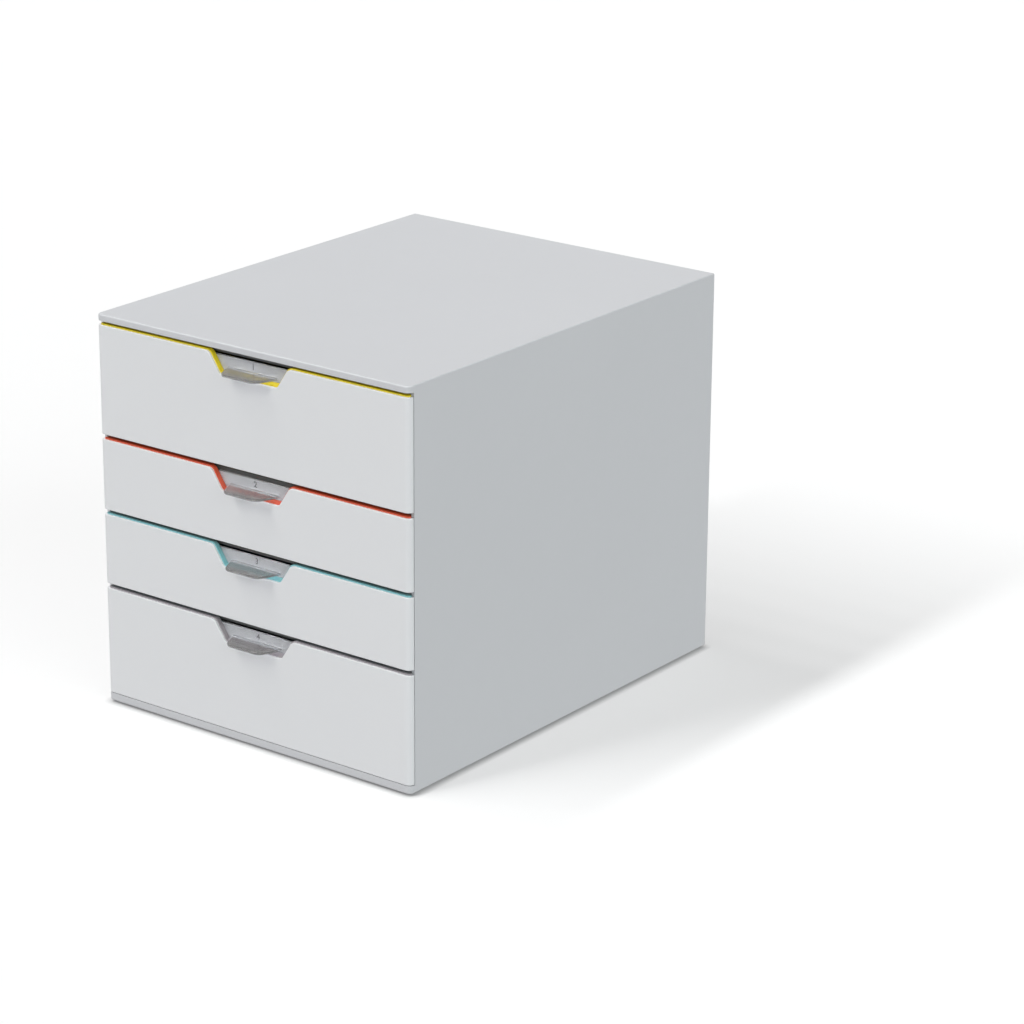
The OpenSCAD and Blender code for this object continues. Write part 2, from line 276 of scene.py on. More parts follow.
def soften(piece: Piece, width: float, segments: int = 2, angle: float = 34) -> None:
    """Break every sharp edge, then shade the piece so that flat faces stay flat.

    Args:
        piece: The piece to finish.
        width: Width of the broken edges.
        segments: Number of steps across each.
        angle: Least angle between two faces that counts as a sharp edge, in degrees.
    """
    finish_modifier(
        piece, "BEVEL", width=width, segments=segments, limit_method="ANGLE",
        angle_limit=math.radians(angle), use_clamp_overlap=True, miter_outer="MITER_ARC",
    )
    pick_up(piece)
    bpy.ops.object.shade_smooth_by_angle(angle=SMOOTH_ANGLE)
    finish_modifier(piece, "WEIGHTED_NORMAL", keep_sharp=True, weight=NORMAL_WEIGHT)


def copy_piece(piece: Piece, name: str, offset: Vector) -> Piece:
    """Copy a piece with a mesh of its own.

    Args:
        piece: The piece to copy.
        name: Name of the copy.
        offset: Way from the piece to its copy.

    Returns:
        The copy, with its place in its mesh.
    """
    copy = piece.copy()
    copy.data = piece.data.copy()
    bpy.context.collection.objects.link(copy)
    copy.data.transform(Matrix.Translation(offset))
    return name_piece(copy, name)


def copy_node(node: str, name: str, width: float) -> Piece:
    """Make a softened copy of a CAD node: merged, cleared of flat seams, with its edges broken.

    Args:
        node: Name of the CAD node.
        name: Name of the copy.
        width: Width of the broken edges.

    Returns:
        The copy, loose from the node's body.
    """
    piece = copy_piece(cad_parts[node], name, Vector())
    piece.parent = None
    for key in list(piece.keys()):
        del piece[key]
    pick_up(piece)
    bpy.ops.mesh.customdata_custom_splitnormals_clear()
    with editing(piece, "VERT"):
        bpy.ops.mesh.select_all(action="SELECT")
        bpy.ops.mesh.remove_doubles(threshold=MERGE)
        bpy.ops.mesh.select_all(action="SELECT")
        bpy.ops.mesh.dissolve_limited(angle_limit=FLAT_ANGLE)
    soften(piece, width)
    return piece


def dress(piece: Piece, material: Material) -> Piece:
    """Give a piece one material all over, and return it."""
    piece.data.materials.clear()
    piece.data.materials.append(material)
    return piece


def dress_node(node: str, material: Material) -> None:
    """Give a CAD node, which stays as it is, one material in all its slots."""
    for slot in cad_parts[node].material_slots:
        slot.material = material
    log.info("%s: CAD node in %s", node, material.name)


def seat(piece: Piece, body: str, nodes: Sequence[str] = ()) -> Piece:
    """Put a finished piece on its body.

    Args:
        piece: The piece.
        body: Name of the CAD body that it rides on.
        nodes: CAD nodes that it stands for.

    Returns:
        The piece.
    """
    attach(piece, body)
    if nodes:
        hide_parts(*nodes)
    log.info("%s: %d faces on %s", piece.name, len(piece.data.polygons), body)
    return piece


# --- Shader wiring ---


class Wiring:
    """Adds nodes to one tree and joins them."""

    def __init__(self, tree: Tree) -> None:
        """Take the tree that the nodes go into."""
        self.tree = tree

    def feed(self, node: Node, inputs: dict[str | int, Any]) -> None:
        """Give a node's inputs, by name or number, their values or sockets."""
        for name, value in inputs.items():
            if isinstance(value, Socket):
                self.tree.links.new(value, node.inputs[name])
            else:
                node.inputs[name].default_value = value

    def add(
        self, kind: str, inputs: dict[str | int, Any] | None = None, **settings: Any
    ) -> Node:
        """Add a node.

        Args:
            kind: Blender's name for its type, without ShaderNode.
            inputs: Values or sockets for its inputs, by name or number.
            **settings: Its settings by name.

        Returns:
            The node.
        """
        node = self.tree.nodes.new("ShaderNode" + kind)
        for name, value in settings.items():
            setattr(node, name, value)
        self.feed(node, inputs or {})
        return node

    def calc(self, operation: str, a: Any, b: Any) -> Socket:
        """Add a Math node on two values or sockets, and return its result."""
        return self.add("Math", {0: a, 1: b}, operation=operation).outputs[0]

    def plus(self, a: Any, b: Any) -> Socket:
        """Add two values or sockets."""
        return self.calc("ADD", a, b)

    def times(self, a: Any, b: Any) -> Socket:
        """Multiply two values or sockets."""
        return self.calc("MULTIPLY", a, b)

    def ramp(self, value: Socket, span: tuple[float, float], **settings: Any) -> Socket:
        """Stretch a span of a value to the range from 0 to 1."""
        inputs = {"Value": value, "From Min": span[0], "From Max": span[1]}
        return self.add("MapRange", inputs, **settings).outputs[0]

    def blend(self, factor: Any, a: Any, b: Any) -> Socket:
        """Mix two colours by a factor, and return the mixed colour."""
        node = self.add("Mix", {"Factor": factor, MIX_A: a, MIX_B: b}, data_type="RGBA")
        return node.outputs[MIX_RESULT]

    def bump(self, height: Socket, strength: float, depth: float, **inputs: Any) -> Socket:
        """Add a bump with its depth in millimetres, and return its normal."""
        given = {"Strength": strength, "Distance": depth * MM, "Height": height}
        return self.add("Bump", given | inputs).outputs[0]

    def group(self, tree: Tree, **inputs: Any) -> Sequence[Socket]:
        """Place a node group with values for its named inputs, and return its outputs."""
        node = self.add("Group", node_tree=tree)
        self.feed(node, {name.capitalize(): value for name, value in inputs.items()})
        return node.outputs


def start_wiring(owner: Material | bpy.types.World) -> Wiring:
    """Clear the nodes of a material or world, and return the wiring of its tree."""
    owner.use_nodes = True
    owner.node_tree.nodes.clear()
    return Wiring(owner.node_tree)


class Effect:
    """A shader node group with named inputs and outputs, built once for all materials."""

    def __init__(self, name: str, inputs: Sequence[str], outputs: Sequence[str]) -> None:
        """Make the empty group, in which a socket named Colour is a colour, and any other a value.

        Args:
            name: Name of the effect.
            inputs: Names of its inputs.
            outputs: Names of its outputs.
        """
        self.tree = bpy.data.node_groups.new(name, "ShaderNodeTree")
        for way, labels in (("INPUT", inputs), ("OUTPUT", outputs)):
            for label in labels:
                kind = "NodeSocketColor" if label == "Colour" else "NodeSocketFloat"
                self.tree.interface.new_socket(label, in_out=way, socket_type=kind)
        self.wiring = Wiring(self.tree)
        self.given = self.tree.nodes.new("NodeGroupInput")
        self.result = self.tree.nodes.new("NodeGroupOutput")

    def take(self, label: str) -> Socket:
        """Return one of the group's inputs as a socket inside it."""
        return self.given.outputs[label]

    def give(self, label: str, socket: Socket) -> None:
        """Join a socket inside the group to one of its outputs."""
        self.wiring.feed(self.result, {label: socket})

    def place(self) -> Socket:
        """Return the Object coordinates."""
        return self.wiring.add("TexCoord").outputs["Object"]

    def noise(self, scale: Any, detail: float, roughness: float = 0.55) -> Socket:
        """Add a noise on Object coordinates, and return its value from 0 to 1."""
        inputs = {"Vector": self.place(), "Scale": scale, "Detail": detail}
        node = self.wiring.add("TexNoise", inputs | {"Roughness": roughness})
        return node.outputs["Fac"]


class Effects:
    """The shared effects of this object's plastics, rubber and card."""

    def __init__(self) -> None:
        """Build each effect once."""
        self.drift = self.tone_drift()
        self.grain = self.moulded_grain()
        self.rub = self.rubbed_edges()
        self.touch = self.finger_marks()
        self.flow = self.mould_flow()

    @staticmethod
    def tone_drift() -> Tree:
        """Build the slow change of tone that a moulded face has.

        Returns:
            Group with Colour, Amount and Scale in, and Colour out.
        """
        finer, slow_part, fast_part = 11, 1.4, 0.6
        effect = Effect("Tone drift", ["Colour", "Amount", "Scale"], ["Colour"])
        wires, scale = effect.wiring, effect.take("Scale")
        slow = effect.noise(scale, 2)
        fast = effect.noise(wires.times(scale, finer), 3)
        mixed = wires.plus(wires.times(slow, slow_part), wires.times(fast, fast_part))
        swing = wires.times(wires.calc("SUBTRACT", mixed, 1), effect.take("Amount"))
        inputs = {0: effect.take("Colour"), "Scale": wires.plus(swing, 1)}
        effect.give("Colour", wires.add("VectorMath", inputs, operation="SCALE").outputs[0])
        return effect.tree

    @staticmethod
    def moulded_grain() -> Tree:
        """Build the fine spark-eroded texture of a mould.

        Returns:
            Group with Scale in, and Height and Roughness out.
        """
        smoothness, finer, cell_part, fine_part = 0.6, 2.2, 0.7, 0.5
        effect = Effect("Moulded grain", ["Scale"], ["Height", "Roughness"])
        wires, scale = effect.wiring, effect.take("Scale")
        inputs = {"Vector": effect.place(), "Scale": scale, "Smoothness": smoothness}
        cells = wires.add("TexVoronoi", inputs, feature="SMOOTH_F1").outputs["Distance"]
        fine = effect.noise(wires.times(scale, finer), 2)
        height = wires.plus(wires.times(cells, cell_part), wires.times(fine, fine_part))
        effect.give("Height", height)
        effect.give("Roughness", wires.calc("SUBTRACT", fine, 0.5))
        return effect.tree

    @staticmethod
    def rubbed_edges() -> Tree:
        """Build the mask of edges that hands and neighbours have rubbed.

        Returns:
            Group with Reach, Scale and Amount in, and Mask out.
        """
        turned, worn = (0.995, 0.86), (0.42, 0.66)
        effect = Effect("Rubbed edges", ["Reach", "Scale", "Amount"], ["Mask"])
        wires = effect.wiring
        rounded = wires.add("Bevel", {"Radius": effect.take("Reach")}, samples=4).outputs[0]
        plain = wires.add("NewGeometry").outputs["Normal"]
        both = wires.add("VectorMath", {0: rounded, 1: plain}, operation="DOT_PRODUCT")
        edge = wires.ramp(both.outputs["Value"], turned)
        patchy = wires.ramp(effect.noise(effect.take("Scale"), 4), worn)
        effect.give("Mask", wires.times(wires.times(edge, patchy), effect.take("Amount")))
        return effect.tree

    @staticmethod
    def finger_marks() -> Tree:
        """Build the faint smears that fingers leave in the gloss.

        Returns:
            Group with Scale and Amount in, and Roughness out.
        """
        smeared, touched, broader = (0.45, 0.75), (0.4, 0.6), 0.2
        effect = Effect("Finger marks", ["Scale", "Amount"], ["Roughness"])
        wires, scale = effect.wiring, effect.take("Scale")
        smear = wires.ramp(effect.noise(scale, 5, 0.7), smeared)
        where = wires.ramp(effect.noise(wires.times(scale, broader), 1), touched)
        marks = wires.times(wires.times(smear, where), effect.take("Amount"))
        effect.give("Roughness", marks)
        return effect.tree

    @staticmethod
    def mould_flow() -> Tree:
        """Build the long soft waves that a large flat moulding has in its reflections.

        Returns:
            Group with Scale in, and Height out.
        """
        effect = Effect("Mould flow", ["Scale"], ["Height"])
        effect.give("Height", effect.noise(effect.take("Scale"), 1, 0.4))
        return effect.tree


# --- Finishes ---


def new_material(name: str) -> tuple[Material, Wiring, Node, Node]:
    """Make a material with a Principled shader and nothing else.

    Args:
        name: Name of the material.

    Returns:
        The material, the wiring of its nodes, its shader node and its output node.
    """
    material = bpy.data.materials.new(name)
    wires = start_wiring(material)
    shader = wires.add("BsdfPrincipled")
    output = wires.add("OutputMaterial", {"Surface": shader.outputs[0]})
    return material, wires, shader, output


@dataclass(frozen=True)
class MouldedPlastic:
    """A coloured plastic as it comes out of a mould."""

    name: str
    levels: Levels
    roughness: float
    grain: float = 0.012  # depth of the mould's grain in millimetres
    grain_scale: float = 1500  # number of grains in a metre
    drift: float = 0.02  # change of tone over a face
    rub: float = 0.35  # strength of the rubbed edges
    rub_lift: float = 1.12  # how much lighter a rubbed edge is
    marks: float = 0.04  # change of roughness by finger marks

    # Changes in a metre
    DRIFT_SCALE, RUB_SCALE, MARKS_SCALE, WAVE_SCALE = 9, 170, 80, 12
    # Millimetres
    RUB_REACH, WAVE_DEPTH = 0.7, 0.05
    # Parts of 1
    RUB_LIMIT, RUB_GAIN, RUB_POLISH, GRAIN_ROUGHNESS = 0.9, 0.01, 0.1, 0.12
    WAVE_STRENGTH, GRAIN_STRENGTH = 0.25, 0.5
    IOR = 1.46

    def material(self, effects: Effects) -> Material:
        """Build the material from the shared effects, and return it."""
        material, wires, shader, _ = new_material(self.name)
        colour = from_screen(self.levels)
        lifted = (part * self.rub_lift + self.RUB_GAIN for part in colour[:3])
        rubbed = (*(min(part, self.RUB_LIMIT) for part in lifted), 1)
        tone = {"colour": colour, "amount": self.drift, "scale": self.DRIFT_SCALE}
        toned = wires.group(effects.drift, **tone)["Colour"]
        wear = {"reach": self.RUB_REACH * MM, "scale": self.RUB_SCALE, "amount": self.rub}
        mask = wires.group(effects.rub, **wear)["Mask"]
        grain = wires.group(effects.grain, scale=self.grain_scale)
        marks = wires.group(effects.touch, scale=self.MARKS_SCALE, amount=self.marks)
        uneven = wires.times(grain["Roughness"], self.GRAIN_ROUGHNESS)
        rough = wires.plus(wires.plus(marks["Roughness"], self.roughness), uneven)
        waves = wires.group(effects.flow, scale=self.WAVE_SCALE)["Height"]
        broad = wires.bump(waves, self.WAVE_STRENGTH, self.WAVE_DEPTH)
        wires.feed(shader, {
            "Base Color": wires.blend(mask, toned, rubbed),
            "Roughness": wires.calc("SUBTRACT", rough, wires.times(mask, self.RUB_POLISH)),
            "Normal": wires.bump(
                grain["Height"], self.GRAIN_STRENGTH, self.grain, Normal=broad
            ),
            "IOR": self.IOR,
        })
        return material


@dataclass(frozen=True)
class ClearPlastic:
    """A clear moulded plastic with a light smoke in it."""

    name: str
    levels: Levels
    lip_levels: Levels  # tint of the finger lip, which is looked into edge on: the plastic's light smoke with painted shade for what is seen through it, darker than the window, in screen values
    # Colour of the light that falls through one of its faces, in screen values.
    shade: Levels = (192, 193, 198)
    clearness: float = 0.85  # part of the light that it lets through
    roughness: float = 0.05
    lip_roughness: float = 0.16
    # Y at which the lip's look begins and Y from which on it is fully there, in millimetres.
    lip_span: tuple[float, float] = (-169.3, -171.0)
    drift: float = 0.03  # change of tone over a face
    marks: float = 0.12  # change of roughness by finger marks

    # Changes in a metre
    DRIFT_SCALE, MARKS_SCALE, WAVE_SCALE = 30, 260, 120
    WAVE_STRENGTH, WAVE_DEPTH, IOR = 0.2, 0.02, 1.49

    def material(self, effects: Effects) -> Material:
        """Build the material from the shared effects, and return it."""
        material, wires, shader, output = new_material(self.name)
        place = wires.add("TexCoord").outputs["Object"]
        depth = wires.add("SeparateXYZ", {0: place}).outputs["Y"]
        span = tuple(y * MM for y in self.lip_span)
        on_lip = wires.ramp(depth, span, interpolation_type="SMOOTHSTEP")
        # The lip's colour is painted shade: darker than the window for the shade seen through it
        # edge on.
        colour = wires.blend(on_lip, from_screen(self.levels), from_screen(self.lip_levels))
        tone = {"colour": colour, "amount": self.drift, "scale": self.DRIFT_SCALE}
        marks = wires.group(effects.touch, scale=self.MARKS_SCALE, amount=self.marks)
        dull = wires.times(on_lip, self.lip_roughness - self.roughness)
        waves = wires.group(effects.flow, scale=self.WAVE_SCALE)["Height"]
        rough = wires.plus(wires.plus(marks["Roughness"], self.roughness), dull)
        wires.feed(shader, {
            "Base Color": wires.group(effects.drift, **tone)["Colour"],
            "Roughness": rough,
            "Normal": wires.bump(waves, self.WAVE_STRENGTH, self.WAVE_DEPTH),
            "Transmission Weight": self.clearness,
            "IOR": self.IOR,
        })
        lit_through = wires.add("BsdfTransparent", {"Color": from_screen(self.shade)})
        shadow = wires.add("LightPath").outputs["Is Shadow Ray"]
        shaders = {0: shadow, 1: shader.outputs[0], 2: lit_through.outputs[0]}
        wires.feed(output, {"Surface": wires.add("MixShader", shaders).outputs[0]})
        return material


@dataclass(frozen=True)
class Fibrous:
    """Card or ink on card: dull, with fibres in its colour and surface."""

    name: str
    levels: Levels
    fibre: float = 0.02  # depth of the fibres in millimetres
    drift: float = 0.05  # change of tone from fibre to fibre

    # Changes in a metre
    DRIFT_SCALE, FIBRE_SCALE = 700, 2600
    ROUGHNESS, FIBRE_ROUGHNESS, FIBRE_STRENGTH = 0.85, 0.2, 0.5

    def material(self, effects: Effects) -> Material:
        """Build the material from the shared effects, and return it."""
        material, wires, shader, _ = new_material(self.name)
        colour = from_screen(self.levels)
        tone = {"colour": colour, "amount": self.drift, "scale": self.DRIFT_SCALE}
        grain = wires.group(effects.grain, scale=self.FIBRE_SCALE)
        uneven = wires.times(grain["Roughness"], self.FIBRE_ROUGHNESS)
        wires.feed(shader, {
            "Base Color": wires.group(effects.drift, **tone)["Colour"],
            "Roughness": wires.plus(uneven, self.ROUGHNESS),
            "Normal": wires.bump(grain["Height"], self.FIBRE_STRENGTH, self.fibre),
        })
        return material


class Finishes:
    """Every finish of the tower as a material."""

    def __init__(self) -> None:
        """Build the materials in order."""
        effects = Effects()

        def moulded(name: str, levels: Levels, roughness: float, **more: float) -> Material:
            """Build one moulded plastic, and return its material."""
            return MouldedPlastic(name, levels, roughness, **more).material(effects)

        self.cover = moulded("housing satin grey", (203, 204, 207), 0.5, rub=0.2, rub_lift=1.03)
        self.inner = moulded("inner housing grey", (186, 188, 190), 0.55, rub=0.2)
        self.panel = moulded(
            "front satin white", (226, 227, 229), 0.36, grain=0.004, drift=0.012, rub=0.3,
            rub_lift=1.05,
        )
        self.tray = moulded(
            "tray anthracite", (104, 105, 106), 0.5, grain=0.016, drift=0.06, rub=0.3,
            rub_lift=1.5,
        )
        self.foot = moulded(
            "foot rubber black", (34, 34, 35), 0.8, grain=0.03, grain_scale=1100, drift=0.12,
            rub_lift=1.6,
        )
        self.frames = {}
        for colour in FrameColour:
            name = f"frame {colour.name.lower().replace('_', ' ')}"
            self.frames[colour] = moulded(name, colour.value, 0.42, grain=0.008, drift=0.03)
        # Its third colour is the lip's darker tint, painted shade.
        clear = ClearPlastic("window clear smoke", (238, 239, 241), (180, 178, 176))
        self.clear = clear.material(effects)
        self.card = Fibrous("label card", (228, 228, 226)).material(effects)
        self.ink = Fibrous("label ink", (50, 50, 52), drift=0.1).material(effects)


# --- The housing ---


@dataclass
class Housing:
    """Cover, floor, back, runners and feet."""

    finishes: Finishes
    wall: float = 2.6
    roof: float = 3.0  # thickness of the top behind its lip
    lip: float = 4.8  # height of the lip of the top
    strip_top: float = 7.5  # height of the strip below the fronts
    corner_r: float = 4.3  # radius of the upright front corners
    edge_r: float = 1.2  # radius along the other outer edges
    strip_depth: float = 9.0  # depth of the lip and the strip
    side_depth: float = 5.2  # depth of the sides' front edges behind the front plane
    rib: float = 2.0  # width of a rib below the top
    ribs: int = 5
    rib_back: float = 4.6  # distance of the ribs' ends from the back
    rail_in: float = 126.5  # half the free width between the rails

    def cover(self) -> Piece:
        """Model the cover: top, sides, lip and strip in one moulding.

        Returns:
            The finished piece.
        """
        low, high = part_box("housing_cover")
        front, back = low.y, high.y
        cover = start_box("cover", low, high)
        with editing(cover):
            pick_edges(
                cover, lambda a, b: near(a.y, front) and near(b.y, front) and near(a.x, b.x)
            )
            round_edges(self.corner_r * MM, WIDE_STEPS)
            pick_edges(
                cover, lambda a, b: near(a.z, b.z) or (near(a.y, back) and near(b.y, back))
            )
            round_edges(self.edge_r * MM, EDGE_STEPS)
        inner = high.x - self.wall * MM
        lip_low, strip_top = high.z - self.lip * MM, self.strip_top * MM
        strip_back, side_front = front + self.strip_depth * MM, front + self.side_depth * MM
        ahead, roof_low = front - SPARE, high.z - self.roof * MM
        for name, start, end in (
            ("hollow", (-inner, strip_back, low.z - SPARE), (inner, back + SPARE, roof_low)),
            ("recess", (low.x - SPARE, ahead, strip_top), (high.x + SPARE, side_front, lip_low)),
            ("doorway", (-inner, ahead, strip_top), (inner, strip_back + SPARE, lip_low)),
        ):
            combine(cover, start_box(name, Vector(start), Vector(end)), Cut.AWAY)
        rib_root, soft_edge = 1, 0.22
        pitch = 2 * self.rail_in * MM / (self.ribs + 1)
        rib_front = front + (self.strip_depth - rib_root) * MM
        rib_end, rib_top = back - self.rib_back * MM, high.z - (self.roof - rib_root) * MM
        for count in range(1, self.ribs + 1):
            x = count * pitch - self.rail_in * MM
            left, right = x - self.rib / 2 * MM, x + self.rib / 2 * MM
            start, end = Vector((left, rib_front, lip_low)), Vector((right, rib_end, rib_top))
            combine(cover, start_box("rib", start, end), Cut.JOINED)
        soften(cover, soft_edge * MM)
        dress(cover, self.finishes.cover)
        return seat(cover, "housing", ["housing_cover"])

    def foot(self, low: Vector, high: Vector) -> Piece:
        """Model one soft foot with grooves in its tread.

        Args:
            low: Lowest corner of its place.
            high: Highest corner.

        Returns:
            The piece, not yet seated.
        """
        sides, edge_r, soft_edge = 64, 0.8, 0.12
        groove, groove_gap, groove_depth, groove_radii = 0.8, 1.4, 0.4, (5.4, 3.2)
        centre = Vector(((low.x + high.x) / 2, (low.y + high.y) / 2, low.z))
        radius, height = (high.x - low.x) / 2, high.z - low.z
        middle = centre + Vector((0, 0, height / 2))
        clear_selection()
        bpy.ops.mesh.primitive_cylinder_add(
            vertices=sides, radius=radius, depth=height, location=middle
        )
        foot = settle(name_piece(bpy.context.active_object, "foot_front_left"))

        def on_tread(place: Vector, normal: Vector) -> bool:
            """Tell whether a face lies in the underside."""
            return near(place.z, low.z) and normal.z < -FACING

        with editing(foot):
            pick_edges(foot, lambda a, b: near(a.z, low.z) and near(b.z, low.z))
            round_edges(edge_r * MM, EDGE_STEPS)
            pick_faces(foot, on_tread)
            for _ in groove_radii:
                bpy.ops.mesh.inset(thickness=groove_gap * MM)
                bpy.ops.mesh.inset(thickness=groove * MM)
            reach = groove / 4 * MM
            for ring in (radius * MM for radius in groove_radii):
                pick_faces(
                    foot, lambda c, n: on_tread(c, n) and near((c - centre).length, ring, reach)
                )
                pull(mm(0, 0, groove_depth))
        soften(foot, soft_edge * MM)
        return dress(foot, self.finishes.foot)

    def feet(self) -> None:
        """Model one foot, copy it to the other three places, and seat all four."""
        places = {corner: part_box(f"{corner.value}_foot") for corner in Corner}
        low, high = places[Corner.FRONT_LEFT]
        made = {Corner.FRONT_LEFT: self.foot(low, high)}
        for corner in list(Corner)[1:]:
            name = f"foot_{corner.value}"
            made[corner] = copy_piece(made[Corner.FRONT_LEFT], name, places[corner][0] - low)
        for corner, foot in made.items():
            seat(foot, "housing", [f"{corner.value}_foot"])

    def build(self) -> None:
        """Make the housing's new pieces and dress the nodes that stay."""
        self.cover()
        self.feet()
        for node in ("base_plate", "back_panel", "left_runner", "right_runner"):
            dress_node(node, self.finishes.inner)


# --- The drawers ---


@dataclass
class DrawerParts:
    """The pieces that all drawers share, modelled once at the top drawer's place."""

    finishes: Finishes
    top: float  # height of the coloured frame's top edge
    front: float = -172.1  # Y of the front plane
    lip_reach: float = 11.8  # reach of the finger lip in front of the panel
    lip_half: float = 14.8  # half the width of the finger lip's front edge
    root_half: float = 22.3  # half the width of its root
    lip_r: float = 4.0  # radius of its front corners
    lip_t: float = 1.6
    lip_drop: float = 10.7  # drop of its upper face below the frame's top edge
    weld: float = 0.4  # how far the lip's root reaches into the plate
    plate_half: float = 38.3
    plate_front: float = 5.18  # depth of the plate's front face
    plate_t: float = 1.17
    plate_top: float = 3.4  # drop of the plate's top edge
    plate_low: float = 17.3  # drop of the plate's bottom edge
    card_gap: float = 0.04  # gap between the window plate and the card
    card_half: float = 37.5
    card_t: float = 0.24
    card_low: float = 16.5  # drop of the card's bottom edge
    digit: float = 4.3  # height of the printed number
    digit_drop: float = 7.0  # drop of the number's middle

    @property
    def card_front(self) -> float:
        """Y of the card's front face, in millimetres."""
        return self.front + self.plate_front + self.plate_t + self.card_gap

    def lip(self, root: float, low: float, high: float) -> Piece:
        """Model the finger lip with its taper and its rounded front corners.

        Args:
            root: Y of its root, in millimetres.
            low: Height of its lower face, in millimetres.
            high: Height of its upper face, in millimetres.

        Returns:
            The lip, not yet joined to its plate.
        """
        nose = self.front - self.lip_reach
        lip = start_box("lip", mm(-self.lip_half, nose, low), mm(self.lip_half, root, high))
        edge = nose * MM
        with editing(lip):
            pick_faces(lip, lambda c, n: n.y > FACING)
            bpy.ops.transform.resize(
                value=(self.root_half / self.lip_half, 1, 1),
                center_override=tuple(mm(0, root, high)),
            )
            pick_edges(lip, lambda a, b: near(a.y, edge) and near(b.y, edge) and near(a.x, b.x))
            round_edges(self.lip_r * MM, WIDE_STEPS)
        return lip

    def window(self) -> Piece:
        """Model the clear window and its finger lip.

        Returns:
            The piece, not yet seated.
        """
        fillet_r, edge_r, edge_back, past_root, soft_edge = 1.1, 0.4, 4.0, 0.6, 0.15
        plate_front = self.front + self.plate_front
        window = start_box(
            "window",
            mm(-self.plate_half, plate_front, self.top - self.plate_low),
            mm(self.plate_half, plate_front + self.plate_t, self.top - self.plate_top),
        )
        lip_top = self.top - self.lip_drop
        lip_low = lip_top - self.lip_t
        combine(window, self.lip(plate_front + self.weld, lip_low, lip_top), Cut.JOINED)
        low, high, face = lip_low * MM, lip_top * MM, plate_front * MM
        reach = (self.root_half + past_root) * MM
        rim = (self.front + edge_back) * MM

        def at_root(place: Vector) -> bool:
            """Tell whether a corner lies where the lip meets the plate."""
            inside = low - SNAP < place.z < high + SNAP
            return inside and near(place.y, face) and abs(place.x) < reach

        with editing(window):
            pick_edges(window, lambda a, b: at_root(a) and at_root(b))
            round_edges(fillet_r * MM, BEAD_STEPS)
            pick_edges(
                window,
                lambda a, b: near(a.z, b.z)
                and (near(a.z, high) or near(a.z, low))
                and max(a.y, b.y) < rim,
            )
            round_edges(edge_r * MM, EDGE_STEPS)
        soften(window, soft_edge * MM)
        return dress(window, self.finishes.clear)

    def card(self) -> Piece:
        """Model the label card behind a window.

        Returns:
            The piece, not yet seated.
        """
        corner_r, soft_edge = 0.8, 0.03
        front = self.card_front
        card = start_box(
            "card",
            mm(-self.card_half, front, self.top - self.card_low),
            mm(self.card_half, front + self.card_t, self.top - self.plate_top),
        )
        with editing(card):
            pick_edges(card, lambda a, b: not near(a.y, b.y))
            round_edges(corner_r * MM, EDGE_STEPS)
        soften(card, soft_edge * MM, 1)
        return dress(card, self.finishes.card)

    def number(self, digit: str) -> Piece:
        """Model one printed number on a card.

        Args:
            digit: The number.

        Returns:
            The piece, not yet seated.
        """
        unit_size, half_thickness, widening, gap = 1.4, 0.012, 0.15, 0.008
        clear_selection()
        bpy.ops.object.text_add()
        text = bpy.context.active_object
        text.data.body = digit
        text.data.size = self.digit * MM * unit_size
        text.data.align_x = "CENTER"
        text.data.extrude = half_thickness * MM
        text.data.offset = widening * MM
        pick_up(text)
        bpy.ops.object.convert(target="MESH")
        number = bpy.context.active_object
        number.rotation_euler = (math.pi / 2, 0, 0)
        foot = self.top - self.digit_drop - self.digit / 2
        number.location = mm(0, self.card_front - gap, foot)
        settle(name_piece(number, "number"))
        with editing(number, "VERT"):
            bpy.ops.mesh.select_all(action="SELECT")
            bpy.ops.mesh.remove_doubles(threshold=INK_MERGE)
        return dress(number, self.finishes.ink)


